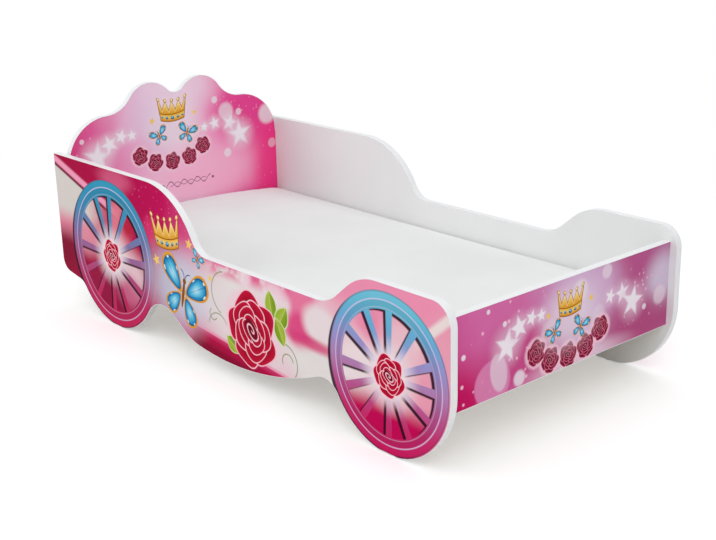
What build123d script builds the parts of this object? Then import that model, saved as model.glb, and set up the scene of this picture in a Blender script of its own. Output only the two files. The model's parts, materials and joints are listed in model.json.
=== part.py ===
from build123d import *
import os
from math import asin, atan2, cos, pi, radians, sin, sqrt, tan

os.makedirs("parts", exist_ok=True)

# Frame: X runs along the bed from the head (-X) to the foot (+X), Y across it, Z up from the floor.
# The origin is on the floor, under the middle of the bed. The right side is at -Y.

# Inside of the bed
inner_length = 1401
inner_width = 700

# Boards
board_thickness = 18
band_thickness = 1
band_rounding = 0.6
print_thickness = 0.3
print_recess = 0.5
head_inset = 29
foot_inset = 18

# Outline of a side panel above the wheels
head_height = 426
head_top_length = 452
head_shoulder_radius = 215
rail_height = 282
rail_corner_radius = 60
ramp_distance = 392
ramp_straight = 46
ramp_low_radius = 100
ramp_high_radius = 133
foot_height = 366
foot_corner_radius = 50

# Outline of a side panel below
head_wheel_distance = 267
head_wheel_z = 198.5
head_wheel_radius = 197.5
foot_wheel_radius = 178
belly_shift = 17.5
belly_height = 42
belly_radius = 840
belly_turn_run = 127
belly_turn_radius = 130
belly_slope = 31
head_arch_radius = 83
foot_arch_radius = 53
nose_height = 104
nose_slope = 9
nose_radius = 36
nose_arch_radius = 40

# Headboard and footboard
board_bottom = 133
head_side_height = 386
head_side_radius = 126
hump_spread = 84
hump_z = 506
hump_radius = 79
valley_radius = 35
foot_board_height = 198

# Slatted base
slat_count = 12
slat_width = 68
slat_thickness = 10
slat_rounding = 2
slat_deck_z = 146
slat_end_play = 2
slat_margin = 20
batten_width = 30
batten_height = 18
batten_play = 6
strap_spread = 200
strap_width = 20
strap_thickness = 1.2

# Mattress
mattress_play = 0.5
mattress_lift = 0.3
mattress_edge_height = 62
mattress_crown = 24
mattress_draw_in = 5
mattress_corner_radius = 32
mattress_edge_radius = 14
cover_thickness = 1.5

# Joints between the boards
hole_play = 0.1
cam_depth = 12.5
cam_radius = 7.5
cam_distance = 24
cam_bolt_reach = 12
cam_bolt_radius = 3
cam_bolt_thread_radius = 2.5
cam_bolt_neck_radius = 2
cam_bolt_head_length = 4
cam_bolt_chamfer = 1
dowel_radius = 4
dowel_length = 30
dowel_reach = 12
head_cam_heights = [175, 345]
head_dowel_heights = [225, 295]
foot_cam_heights = [160, 304]
foot_dowel_heights = [205, 260]

# Screws, staples and glides
batten_screw_count = 5
batten_screw_end = 90
batten_screw_length = 40
slat_screw_length = 24
slat_screw_inset = 15
screw_radius = 2
screw_head_radius = 4
countersink_angle = 90
screw_recess_width = 1.2
screw_recess_depth = 1.4
screw_tip_length = 4
staple_wire = 1
staple_width = 10
staple_leg = 7
glide_height = 2.5
glide_radius = 8
glide_chamfer = 0.8
nail_length = 16
nail_radius = 1
nail_head_radius = 3
nail_head_height = 1

# Places worked out from the sizes above
inner_y = inner_width / 2
head_face_x = -inner_length / 2 + (head_inset - foot_inset) / 2
foot_face_x = head_face_x + inner_length
head_back_x = head_face_x - board_thickness
foot_front_x = foot_face_x + board_thickness
panel_start_x = head_back_x - head_inset
panel_end_x = foot_front_x + foot_inset
core_thickness = board_thickness - print_recess - print_thickness
head_joint_x = head_back_x + board_thickness / 2
foot_joint_x = foot_face_x + board_thickness / 2
foot_top_z = board_bottom + foot_board_height
slat_z = slat_deck_z - slat_thickness
batten_z = slat_z - batten_height
head_wheel_x = panel_start_x + head_wheel_distance
foot_wheel_x = panel_end_x - foot_wheel_radius
foot_wheel_z = foot_wheel_radius
wheel_xs = [head_wheel_x, foot_wheel_x]


def arc_about(center, start, end):
    """Short arc from start to end about a centre."""
    center, start, end = Vector(*center), Vector(*start), Vector(*end)
    way = (start + end) * 0.5 - center
    return ThreePointArc(start, center + way.normalized() * (start - center).length, end)


def touching_center(first, first_distance, second, second_distance, side):
    """Point at a given distance from each of two centres, on one side of the line between them."""
    first, second = Vector(*first), Vector(*second)
    gap = (second - first).length
    along = (second - first).normalized()
    across = Vector(-along.Y, along.X) * side
    reach = (first_distance**2 - second_distance**2 + gap**2) / (2 * gap)
    rise = sqrt(first_distance**2 - reach**2)
    return tuple(first + along * reach + across * rise)[:2]


def toward(center, target, radius):
    """Point on a circle, in the direction of a target."""
    center, target = Vector(*center), Vector(*target)
    return tuple(center + (target - center).normalized() * radius)[:2]


# Outline of a side panel, drawn with X along the bed and Y as height
head_flat_end = panel_start_x + head_top_length
shoulder_center = (head_flat_end, head_height - head_shoulder_radius)
corner_center_z = rail_height + rail_corner_radius
corner_center_x = head_flat_end + sqrt(
    (head_shoulder_radius + rail_corner_radius) ** 2 - (corner_center_z - shoulder_center[1]) ** 2
)
corner_center = (corner_center_x, corner_center_z)
shoulder_end = toward(shoulder_center, corner_center, head_shoulder_radius)

# The ramp's slope is the one at which its two arcs and its straight climb from the rail to the foot
ramp_start = panel_end_x - ramp_distance
ramp_rise = foot_height - rail_height
ramp_radii = ramp_low_radius + ramp_high_radius
ramp_reach = sqrt(ramp_straight**2 + ramp_radii**2)
ramp_slope = atan2(ramp_radii, ramp_straight) + asin((ramp_rise - ramp_radii) / ramp_reach)
ramp_sin = sin(ramp_slope)
ramp_cos = cos(ramp_slope)
ramp_low = (
    ramp_start + ramp_low_radius * ramp_sin,
    rail_height + ramp_low_radius * (1 - ramp_cos),
)
ramp_high = (ramp_low[0] + ramp_straight * ramp_cos, ramp_low[1] + ramp_straight * ramp_sin)
ramp_top = (ramp_high[0] + ramp_high_radius * ramp_sin, foot_height)

foot_wheel = (foot_wheel_x, foot_wheel_z)
head_wheel = (head_wheel_x, head_wheel_z)
foot_flat = sqrt(foot_wheel_radius**2 - (foot_wheel_z - glide_height) ** 2)
head_flat = sqrt(head_wheel_radius**2 - (head_wheel_z - glide_height) ** 2)

belly_x = (head_wheel_x + foot_wheel_x) / 2 - belly_shift
belly_center = (belly_x, belly_height + belly_radius)
foot_arch = touching_center(
    belly_center, belly_radius + foot_arch_radius, foot_wheel, foot_wheel_radius + foot_arch_radius, -1
)
belly_drop = sqrt(belly_radius**2 - belly_turn_run**2)
belly_turn = (belly_x - belly_turn_run, belly_center[1] - belly_drop)
belly_turn_center = toward(belly_turn, belly_center, belly_turn_radius)
slope_sin = sin(radians(belly_slope))
slope_cos = cos(radians(belly_slope))
slope_start = (
    belly_turn_center[0] - belly_turn_radius * slope_sin,
    belly_turn_center[1] - belly_turn_radius * slope_cos,
)
# The head arch touches the sloping line and the head wheel
arch_line = Vector(slope_start[0], slope_start[1]) - Vector(slope_sin, slope_cos) * head_arch_radius
from_wheel = arch_line - Vector(*head_wheel)
slope_way = Vector(-slope_cos, slope_sin)
half_b = from_wheel.dot(slope_way)
arch_reach = (head_wheel_radius + head_arch_radius) ** 2
arch_step = -half_b - sqrt(half_b**2 - from_wheel.dot(from_wheel) + arch_reach)
head_arch = tuple(arch_line + slope_way * arch_step)[:2]
head_arch_end = tuple(Vector(*head_arch) + Vector(slope_sin, slope_cos) * head_arch_radius)[:2]

# The underside of the nose runs from the head end down to the head wheel
nose_sin = sin(radians(nose_slope))
nose_cos = cos(radians(nose_slope))
nose_line = Vector(panel_start_x, nose_height) - Vector(nose_sin, nose_cos) * nose_arch_radius
from_wheel = nose_line - Vector(*head_wheel)
nose_way = Vector(nose_cos, -nose_sin)
half_b = from_wheel.dot(nose_way)
nose_reach = (head_wheel_radius + nose_arch_radius) ** 2
nose_step = -half_b - sqrt(half_b**2 - from_wheel.dot(from_wheel) + nose_reach)
nose_arch = tuple(nose_line + nose_way * nose_step)[:2]
nose_arch_start = tuple(Vector(*nose_arch) + Vector(nose_sin, nose_cos) * nose_arch_radius)[:2]
nose_tangent = nose_radius * tan(pi / 4 - radians(nose_slope) / 2)
nose_center = (panel_start_x + nose_radius, nose_height + nose_tangent)
nose_low = (nose_center[0] - nose_radius * nose_sin, nose_center[1] - nose_radius * nose_cos)

with BuildSketch() as side_outline:
    with BuildLine():
        Line((panel_start_x, nose_center[1]), (panel_start_x, head_height))
        Line((panel_start_x, head_height), (head_flat_end, head_height))
        arc_about(shoulder_center, (head_flat_end, head_height), shoulder_end)
        arc_about(corner_center, shoulder_end, (corner_center_x, rail_height))
        Line((corner_center_x, rail_height), (ramp_start, rail_height))
        arc_about((ramp_start, rail_height + ramp_low_radius), (ramp_start, rail_height), ramp_low)
        Line(ramp_low, ramp_high)
        arc_about((ramp_top[0], foot_height - ramp_high_radius), ramp_high, ramp_top)
        Line(ramp_top, (panel_end_x - foot_corner_radius, foot_height))
        arc_about(
            (panel_end_x - foot_corner_radius, foot_height - foot_corner_radius),
            (panel_end_x - foot_corner_radius, foot_height),
            (panel_end_x, foot_height - foot_corner_radius),
        )
        Line((panel_end_x, foot_height - foot_corner_radius), (panel_end_x, foot_wheel_z))
        arc_about(foot_wheel, (panel_end_x, foot_wheel_z), (foot_wheel_x + foot_flat, glide_height))
        Line((foot_wheel_x + foot_flat, glide_height), (foot_wheel_x - foot_flat, glide_height))
        arc_about(
            foot_wheel,
            (foot_wheel_x - foot_flat, glide_height),
            toward(foot_wheel, foot_arch, foot_wheel_radius),
        )
        arc_about(
            foot_arch,
            toward(foot_wheel, foot_arch, foot_wheel_radius),
            toward(foot_arch, belly_center, foot_arch_radius),
        )
        arc_about(belly_center, toward(foot_arch, belly_center, foot_arch_radius), belly_turn)
        arc_about(belly_turn_center, belly_turn, slope_start)
        Line(slope_start, head_arch_end)
        arc_about(head_arch, head_arch_end, toward(head_wheel, head_arch, head_wheel_radius))
        arc_about(
            head_wheel,
            toward(head_wheel, head_arch, head_wheel_radius),
            (head_wheel_x + head_flat, glide_height),
        )
        Line((head_wheel_x + head_flat, glide_height), (head_wheel_x - head_flat, glide_height))
        arc_about(
            head_wheel,
            (head_wheel_x - head_flat, glide_height),
            toward(head_wheel, nose_arch, head_wheel_radius),
        )
        arc_about(nose_arch, toward(head_wheel, nose_arch, head_wheel_radius), nose_arch_start)
        Line(nose_arch_start, nose_low)
        arc_about(nose_center, nose_low, (panel_start_x, nose_center[1]))
    make_face()

with BuildSketch() as side_core:
    add(side_outline.sketch)
    offset(amount=-band_thickness)

# Outline of the headboard, drawn with X across the bed and Y as height
side_center = (inner_y - head_side_radius, head_side_height)
head_shoulder_z = head_side_height + head_side_radius
hump = (hump_spread, hump_z)
dip_run = side_center[0] - hump_spread
dip_rise = head_shoulder_z - hump_z
dip_radius = (dip_run**2 + dip_rise**2 - hump_radius**2) / (2 * (hump_radius - dip_rise))
dip_center = (side_center[0], head_shoulder_z + dip_radius)
valley_center = (0, hump_z + sqrt((hump_radius + valley_radius) ** 2 - hump_spread**2))
valley_low = (0, valley_center[1] - valley_radius)
valley_end = toward(hump, valley_center, hump_radius)
dip_start = toward(hump, dip_center, hump_radius)
hump_top = (hump_spread, hump_z + hump_radius)

with BuildSketch() as head_outline:
    with BuildLine():
        arc_about(valley_center, valley_low, valley_end)
        arc_about(hump, valley_end, hump_top)
        arc_about(hump, hump_top, dip_start)
        arc_about(dip_center, dip_start, (side_center[0], head_shoulder_z))
        arc_about(side_center, (side_center[0], head_shoulder_z), (inner_y, head_side_height))
        Polyline((inner_y, head_side_height), (inner_y, board_bottom), (0, board_bottom))
        mirror(about=Plane.YZ)
    make_face()

with BuildSketch() as head_band:
    add(head_outline.sketch)
    with BuildSketch(mode=Mode.PRIVATE) as head_inside:
        add(head_outline.sketch)
        offset(amount=-band_thickness)
    add(head_inside.sketch, mode=Mode.SUBTRACT)
    with Locations((0, head_side_height)):
        Rectangle(inner_width, hump_z, align=(Align.CENTER, Align.MIN), mode=Mode.INTERSECT)
    with Locations((0, board_bottom)):
        Rectangle(inner_width, band_thickness, align=(Align.CENTER, Align.MIN))

with BuildSketch() as head_core:
    add(head_outline.sketch)
    add(head_band.sketch, mode=Mode.SUBTRACT)

# Spots of the fasteners
batten_length = inner_length - 2 * batten_play
batten_x = (head_face_x + foot_face_x) / 2
batten_screw_pitch = (batten_length - 2 * batten_screw_end) / (batten_screw_count - 1)
batten_screw_start = batten_x - batten_length / 2 + batten_screw_end
batten_screw_spots = [
    (batten_screw_start + i * batten_screw_pitch, batten_z + batten_height / 2)
    for i in range(batten_screw_count)
]
slat_pitch = (inner_length - 2 * slat_margin - slat_width) / (slat_count - 1)
slat_xs = [head_face_x + slat_margin + slat_width / 2 + i * slat_pitch for i in range(slat_count)]
slat_screw_y = inner_y - slat_screw_inset
head_spots = {
    "cam": [(head_joint_x, z) for z in head_cam_heights],
    "dowel": [(head_joint_x, z) for z in head_dowel_heights],
}
foot_spots = {
    "cam": [(foot_joint_x, z) for z in foot_cam_heights],
    "dowel": [(foot_joint_x, z) for z in foot_dowel_heights],
}
cam_spots = head_spots["cam"] + foot_spots["cam"]
dowel_spots = head_spots["dowel"] + foot_spots["dowel"]
dowel_hole_depth = dowel_length - dowel_reach + hole_play
staple_xs = [x + way * (staple_width - staple_wire) / 2 for x in slat_xs for way in (-1, 1)]
staple_spots = [(x, way * strap_spread) for x in staple_xs for way in (-1, 1)]

# Right side panel, whose printed face looks to -Y
with BuildPart() as right_side_panel:
    with BuildSketch(Plane.XZ.offset(inner_y)):
        add(side_core.sketch)
    extrude(amount=core_thickness)
    with BuildSketch(Plane.XZ.offset(inner_y)):
        with Locations(*cam_spots):
            Circle(cam_bolt_thread_radius + hole_play)
    extrude(amount=cam_bolt_reach, mode=Mode.SUBTRACT)
    with BuildSketch(Plane.XZ.offset(inner_y)):
        with Locations(*dowel_spots):
            Circle(dowel_radius + hole_play)
    extrude(amount=dowel_reach + hole_play, mode=Mode.SUBTRACT)
    with BuildSketch(Plane.XZ.offset(inner_y)):
        with Locations(*batten_screw_spots):
            Circle(screw_radius + hole_play)
    extrude(amount=batten_screw_length - batten_width + hole_play, mode=Mode.SUBTRACT)
    with BuildSketch(Plane.XY.offset(glide_height)):
        with Locations(*[(x, -(inner_y + board_thickness / 2)) for x in wheel_xs]):
            Circle(nail_radius + hole_play)
    extrude(amount=nail_length, mode=Mode.SUBTRACT)
right_side_panel.part.label = "right_side_panel"

with BuildPart() as left_side_panel:
    mirror(right_side_panel.part, about=Plane.XZ)
left_side_panel.part.label = "left_side_panel"

# Plastic banding round the right side panel's cut edge
with BuildPart() as right_edge_band:
    with BuildSketch(Plane.XZ.offset(inner_y)):
        add(side_outline.sketch)
        add(side_core.sketch, mode=Mode.SUBTRACT)
    extrude(amount=board_thickness)
    band_faces = right_edge_band.faces().filter_by(Axis.Y)
    fillet([face.outer_wire().edges() for face in band_faces], band_rounding)
    with BuildSketch(Plane.XY):
        with Locations(*[(x, -(inner_y + board_thickness / 2)) for x in wheel_xs]):
            Circle(nail_radius + hole_play)
    extrude(amount=nail_length, mode=Mode.SUBTRACT)
right_edge_band.part.label = "right_edge_band"

with BuildPart() as left_edge_band:
    mirror(right_edge_band.part, about=Plane.XZ)
left_edge_band.part.label = "left_edge_band"

# Printed foil on the right side panel
with BuildPart() as right_side_print:
    with BuildSketch(Plane.XZ.offset(inner_y + core_thickness)):
        add(side_core.sketch)
    extrude(amount=print_thickness)
right_side_print.part.label = "right_side_print"

with BuildPart() as left_side_print:
    mirror(right_side_print.part, about=Plane.XZ)
left_side_print.part.label = "left_side_print"

# Headboard, printed on the face that looks to the foot
with BuildPart() as headboard:
    with BuildSketch(Plane.YZ.offset(head_back_x)):
        add(head_core.sketch)
    extrude(amount=core_thickness)
    for end in (-1, 1):
        cam_y = end * (inner_y - cam_distance)
        with BuildSketch(Plane.YZ.offset(head_back_x)):
            with Locations(*[(cam_y, z) for z in head_cam_heights]):
                Circle(cam_radius + hole_play)
        extrude(amount=cam_depth, mode=Mode.SUBTRACT)
        with BuildSketch(Plane.XZ.offset(end * inner_y)):
            with Locations(*head_spots["cam"]):
                Circle(cam_bolt_radius + hole_play)
        extrude(amount=-end * cam_distance, mode=Mode.SUBTRACT)
        with BuildSketch(Plane.XZ.offset(end * inner_y)):
            with Locations(*head_spots["dowel"]):
                Circle(dowel_radius + hole_play)
        extrude(amount=-end * dowel_hole_depth, mode=Mode.SUBTRACT)
headboard.part.label = "headboard"

with BuildPart() as headboard_edge_band:
    with BuildSketch(Plane.YZ.offset(head_back_x)):
        add(head_band.sketch)
    extrude(amount=board_thickness)
headboard_edge_band.part.label = "headboard_edge_band"

with BuildPart() as headboard_print:
    with BuildSketch(Plane.YZ.offset(head_back_x + core_thickness)):
        add(head_core.sketch)
    extrude(amount=print_thickness)
headboard_print.part.label = "headboard_print"

# Footboard, printed on the face that looks away from the bed
with BuildPart() as footboard:
    with BuildSketch(Plane.YZ.offset(foot_face_x)):
        with Locations((0, board_bottom + band_thickness)):
            Rectangle(
                inner_width, foot_board_height - 2 * band_thickness, align=(Align.CENTER, Align.MIN)
            )
    extrude(amount=core_thickness)
    for end in (-1, 1):
        cam_y = end * (inner_y - cam_distance)
        with BuildSketch(Plane.YZ.offset(foot_face_x)):
            with Locations(*[(cam_y, z) for z in foot_cam_heights]):
                Circle(cam_radius + hole_play)
        extrude(amount=cam_depth, mode=Mode.SUBTRACT)
        with BuildSketch(Plane.XZ.offset(end * inner_y)):
            with Locations(*foot_spots["cam"]):
                Circle(cam_bolt_radius + hole_play)
        extrude(amount=-end * cam_distance, mode=Mode.SUBTRACT)
        with BuildSketch(Plane.XZ.offset(end * inner_y)):
            with Locations(*foot_spots["dowel"]):
                Circle(dowel_radius + hole_play)
        extrude(amount=-end * dowel_hole_depth, mode=Mode.SUBTRACT)
footboard.part.label = "footboard"

with BuildPart() as footboard_edge_band:
    with BuildSketch(Plane.YZ.offset(foot_face_x)):
        with Locations((0, board_bottom), (0, foot_top_z - band_thickness)):
            Rectangle(inner_width, band_thickness, align=(Align.CENTER, Align.MIN))
    extrude(amount=board_thickness)
footboard_edge_band.part.label = "footboard_edge_band"

with BuildPart() as footboard_print:
    with BuildSketch(Plane.YZ.offset(foot_face_x + core_thickness)):
        with Locations((0, board_bottom + band_thickness)):
            Rectangle(
                inner_width, foot_board_height - 2 * band_thickness, align=(Align.CENTER, Align.MIN)
            )
    extrude(amount=print_thickness)
footboard_print.part.label = "footboard_print"

# Battens that carry the slats
with BuildPart() as right_batten:
    with BuildSketch(Plane.XZ.offset(inner_y - batten_width)):
        with Locations((batten_x, batten_z)):
            Rectangle(batten_length, batten_height, align=(Align.CENTER, Align.MIN))
    extrude(amount=batten_width)
    with Locations(Plane.XZ.offset(inner_y - batten_width)):
        with Locations(*batten_screw_spots):
            CounterSinkHole(
                screw_radius + hole_play,
                screw_head_radius + hole_play,
                counter_sink_angle=countersink_angle,
            )
    with BuildSketch(Plane.XY.offset(slat_z)):
        with Locations((slat_xs[0], -slat_screw_y), (slat_xs[-1], -slat_screw_y)):
            Circle(screw_radius + hole_play)
    extrude(amount=-(slat_screw_length - slat_thickness + hole_play), mode=Mode.SUBTRACT)
right_batten.part.label = "right_batten"

with BuildPart() as left_batten:
    mirror(right_batten.part, about=Plane.XZ)
left_batten.part.label = "left_batten"

# Slats, the first and last screwed down
slat_length = inner_width - 2 * slat_end_play
slats = []
for number, slat_x in enumerate(slat_xs, start=1):
    with BuildPart() as slat:
        with BuildSketch(Plane.XY.offset(slat_z)):
            with Locations((slat_x, 0)):
                Rectangle(slat_width, slat_length)
        extrude(amount=slat_thickness)
        fillet(slat.edges().filter_by(Axis.Y), slat_rounding)
        legs = [(x, y) for x, y in staple_spots if abs(x - slat_x) < slat_width / 2]
        with BuildSketch(Plane.XY.offset(slat_z)):
            with Locations(*legs):
                Rectangle(staple_wire + hole_play, staple_wire + hole_play)
        extrude(amount=staple_leg, mode=Mode.SUBTRACT)
        if number in (1, slat_count):
            with Locations(Plane.XY.offset(slat_deck_z)):
                with Locations((slat_x, -slat_screw_y), (slat_x, slat_screw_y)):
                    CounterSinkHole(
                        screw_radius + hole_play,
                        screw_head_radius + hole_play,
                        counter_sink_angle=countersink_angle,
                    )
    slat.part.label = f"slat_{number:02d}"
    slats.append(slat.part)

# Webbing under the slats
strap_length = slat_xs[-1] - slat_xs[0] + slat_width
with BuildPart() as right_slat_strap:
    with BuildSketch(Plane.XY.offset(slat_z)):
        with Locations((batten_x, -strap_spread)):
            Rectangle(strap_length, strap_width)
        with Locations(*[(x, -strap_spread) for x in staple_xs]):
            Rectangle(staple_wire + hole_play, staple_wire + hole_play, mode=Mode.SUBTRACT)
    extrude(amount=-strap_thickness)
right_slat_strap.part.label = "right_slat_strap"

with BuildPart() as left_slat_strap:
    mirror(right_slat_strap.part, about=Plane.XZ)
left_slat_strap.part.label = "left_slat_strap"

# One staple on each crossing, its crown under the strap
with BuildPart() as strap_staples:
    with BuildSketch(Plane.XY.offset(slat_z - strap_thickness)):
        with Locations(*[(x, way * strap_spread) for x in slat_xs for way in (-1, 1)]):
            Rectangle(staple_width, staple_wire)
    extrude(amount=-staple_wire)
    with BuildSketch(Plane.XY.offset(slat_z - strap_thickness)):
        with Locations(*staple_spots):
            Rectangle(staple_wire, staple_wire)
    extrude(amount=strap_thickness + staple_leg - hole_play)
strap_staples.part.label = "strap_staples"

# Foam mattress: drawn-in sides, crowned top and rounded upper edge
mattress_x = (head_face_x + foot_face_x) / 2
mattress_bottom = slat_deck_z + mattress_lift
mattress_top = mattress_bottom + mattress_edge_height
mattress_parts = []
for inset in (0, cover_thickness):
    half_x = inner_length / 2 - mattress_play - inset
    half_y = inner_y - mattress_play - inset
    low_z = mattress_bottom + inset
    edge_z = mattress_top - inset
    crown_z = edge_z + mattress_crown
    with BuildPart() as mattress_form:
        with BuildSketch(Plane.XY.offset(low_z)):
            with BuildLine():
                ThreePointArc((-half_x, -half_y), (0, mattress_draw_in - half_y), (half_x, -half_y))
                ThreePointArc((half_x, -half_y), (half_x - mattress_draw_in, 0), (half_x, half_y))
                ThreePointArc((half_x, half_y), (0, half_y - mattress_draw_in), (-half_x, half_y))
                ThreePointArc((-half_x, half_y), (mattress_draw_in - half_x, 0), (-half_x, -half_y))
            plan = make_face()
            fillet(plan.vertices(), mattress_corner_radius)
        extrude(amount=crown_z - low_z)
        with BuildSketch(Plane.YZ.offset(-half_x)):
            with BuildLine():
                ThreePointArc((-half_y, edge_z), (0, crown_z), (half_y, edge_z))
                Polyline((half_y, edge_z), (half_y, low_z), (-half_y, low_z), (-half_y, edge_z))
            make_face()
        extrude(amount=2 * half_x, mode=Mode.INTERSECT)
        fillet(mattress_form.faces().sort_by(Axis.Z)[-1].edges(), mattress_edge_radius - inset)
    mattress_parts.append(Pos(mattress_x, 0, 0) * mattress_form.part)

with BuildPart() as mattress_cover:
    add(mattress_parts[0])
    add(mattress_parts[1], mode=Mode.SUBTRACT)
mattress_cover.part.label = "mattress_cover"

with BuildPart() as mattress_core:
    add(mattress_parts[1])
mattress_core.part.label = "mattress_core"

# Cam bolts: threaded end in the side panel, head in the cam disc
bolt_head_start = cam_distance - cam_bolt_head_length
bolt_neck_start = bolt_head_start - cam_bolt_head_length
with BuildPart() as cam_bolt:
    with BuildSketch(Plane.XY):
        with BuildLine():
            Polyline(
                (0, -cam_bolt_reach + hole_play),
                (cam_bolt_thread_radius, -cam_bolt_reach + cam_bolt_chamfer),
                (cam_bolt_thread_radius, 0),
                (cam_bolt_radius, 0),
                (cam_bolt_radius, bolt_neck_start),
                (cam_bolt_neck_radius, bolt_neck_start),
                (cam_bolt_neck_radius, bolt_head_start),
                (cam_bolt_radius, bolt_head_start),
                (cam_bolt_radius, cam_distance - cam_bolt_chamfer),
                (cam_bolt_neck_radius, cam_distance),
                (0, cam_distance),
                close=True,
            )
        make_face()
    revolve(axis=Axis.Y)

with BuildPart() as cam_bolts:
    for x, z in cam_spots:
        with Locations(Location((x, -inner_y, z))):
            add(cam_bolt.part)
        with Locations(Location((x, inner_y, z), (0, 0, 180))):
            add(cam_bolt.part)
cam_bolts.part.label = "cam_bolts"

# Cam discs, let into the unprinted faces and slotted for the bolt heads
cam_height = cam_depth - hole_play
cam_axis_depth = board_thickness / 2
with BuildPart() as cam_disc:
    with BuildSketch(Plane.YZ):
        Circle(cam_radius)
    extrude(amount=cam_height)
    with BuildSketch(Plane.XZ.offset(cam_radius)):
        with Locations((cam_axis_depth, 0)):
            Circle(cam_bolt_radius + hole_play)
    extrude(amount=-(cam_radius + hole_play), mode=Mode.SUBTRACT)
    with BuildSketch(Plane.YZ):
        Rectangle(cam_radius, screw_recess_width)
        Rectangle(screw_recess_width, cam_radius)
    extrude(amount=screw_recess_depth, mode=Mode.SUBTRACT)

with BuildPart() as cam_discs:
    for end in (-1, 1):
        turn = 0 if end < 0 else 180
        for z in head_cam_heights:
            with Locations(Location((head_back_x, end * (inner_y - cam_distance), z), (turn, 0, 0))):
                add(cam_disc.part)
        for z in foot_cam_heights:
            with Locations(Location((foot_face_x, end * (inner_y - cam_distance), z), (turn, 0, 0))):
                add(cam_disc.part)
cam_discs.part.label = "cam_discs"

# Beech dowels beside the cam bolts
with BuildPart() as dowels:
    for way in (-1, 1):
        with BuildSketch(Plane.XZ.offset(way * (inner_y + dowel_reach))):
            with Locations(*dowel_spots):
                Circle(dowel_radius)
        extrude(amount=-way * dowel_length)
dowels.part.label = "dowels"

# Countersunk wood screws
screw_head_depth = (screw_head_radius - screw_radius) / tan(radians(countersink_angle / 2))
screw_parts = []
for length in (batten_screw_length, slat_screw_length):
    with BuildPart() as screw:
        with BuildSketch(Plane.XZ):
            with BuildLine():
                Polyline(
                    (0, 0),
                    (screw_head_radius, 0),
                    (screw_radius, -screw_head_depth),
                    (screw_radius, screw_tip_length - length),
                    (0, -length),
                    close=True,
                )
            make_face()
        revolve(axis=Axis.Z)
        with BuildSketch(Plane.XY):
            Rectangle(screw_head_radius, screw_recess_width)
            Rectangle(screw_recess_width, screw_head_radius)
        extrude(amount=-screw_recess_depth, mode=Mode.SUBTRACT)
    screw_parts.append(screw.part)

with BuildPart() as batten_screws:
    for x, z in batten_screw_spots:
        with Locations(Location((x, batten_width - inner_y, z), (-90, 0, 0))):
            add(screw_parts[0])
        with Locations(Location((x, inner_y - batten_width, z), (90, 0, 0))):
            add(screw_parts[0])
batten_screws.part.label = "batten_screws"

with BuildPart() as slat_screws:
    for x in (slat_xs[0], slat_xs[-1]):
        with Locations((x, -slat_screw_y, slat_deck_z), (x, slat_screw_y, slat_deck_z)):
            add(screw_parts[1])
slat_screws.part.label = "slat_screws"

# Glides under the wheels, and the nails that hold them
glide_spots = [(x, way * (inner_y + board_thickness / 2)) for x in wheel_xs for way in (-1, 1)]
with BuildPart() as floor_glides:
    with BuildSketch(Plane.XY):
        with Locations(*glide_spots):
            Circle(glide_radius)
    extrude(amount=glide_height)
    chamfer(floor_glides.faces().sort_by(Axis.Z)[: len(glide_spots)].edges(), glide_chamfer)
    with BuildSketch(Plane.XY):
        with Locations(*glide_spots):
            Circle(nail_head_radius + hole_play)
    extrude(amount=2 * nail_head_height, mode=Mode.SUBTRACT)
    with BuildSketch(Plane.XY):
        with Locations(*glide_spots):
            Circle(nail_radius + hole_play)
    extrude(amount=glide_height, mode=Mode.SUBTRACT)
floor_glides.part.label = "floor_glides"

with BuildPart() as glide_nails:
    with BuildSketch(Plane.XY.offset(nail_head_height)):
        with Locations(*glide_spots):
            Circle(nail_head_radius)
    extrude(amount=nail_head_height)
    with BuildSketch(Plane.XY.offset(nail_head_height)):
        with Locations(*glide_spots):
            Circle(nail_radius)
    extrude(amount=nail_length)
glide_nails.part.label = "glide_nails"

pieces = [
    right_side_panel.part,
    left_side_panel.part,
    right_edge_band.part,
    left_edge_band.part,
    right_side_print.part,
    left_side_print.part,
    headboard.part,
    headboard_edge_band.part,
    headboard_print.part,
    footboard.part,
    footboard_edge_band.part,
    footboard_print.part,
    right_batten.part,
    left_batten.part,
    right_slat_strap.part,
    left_slat_strap.part,
    strap_staples.part,
    mattress_cover.part,
    mattress_core.part,
    cam_bolts.part,
    cam_discs.part,
    dowels.part,
    batten_screws.part,
    slat_screws.part,
    floor_glides.part,
    glide_nails.part,
    *slats,
]
for piece in pieces:
    export_step(piece, f"parts/{piece.label}.step")
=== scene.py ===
import json
import math

import bmesh
import bpy
from mathutils import Matrix, Vector


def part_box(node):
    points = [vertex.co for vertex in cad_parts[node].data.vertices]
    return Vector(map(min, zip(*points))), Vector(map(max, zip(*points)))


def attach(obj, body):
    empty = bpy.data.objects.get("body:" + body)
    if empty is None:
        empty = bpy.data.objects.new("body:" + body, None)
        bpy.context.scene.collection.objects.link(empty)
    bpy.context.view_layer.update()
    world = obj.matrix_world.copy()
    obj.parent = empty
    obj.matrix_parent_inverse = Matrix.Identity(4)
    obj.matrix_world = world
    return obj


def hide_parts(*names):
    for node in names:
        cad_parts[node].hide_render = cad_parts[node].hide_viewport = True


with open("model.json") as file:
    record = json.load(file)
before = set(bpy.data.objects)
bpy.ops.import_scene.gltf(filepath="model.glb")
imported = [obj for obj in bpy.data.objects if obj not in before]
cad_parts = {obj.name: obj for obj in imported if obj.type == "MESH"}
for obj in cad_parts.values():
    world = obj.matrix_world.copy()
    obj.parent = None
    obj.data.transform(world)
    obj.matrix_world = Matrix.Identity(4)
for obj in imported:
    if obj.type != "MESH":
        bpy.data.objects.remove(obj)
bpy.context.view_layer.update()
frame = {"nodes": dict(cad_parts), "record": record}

nodes = frame["nodes"]
mm = 0.001


# Colours and node helpers

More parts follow.
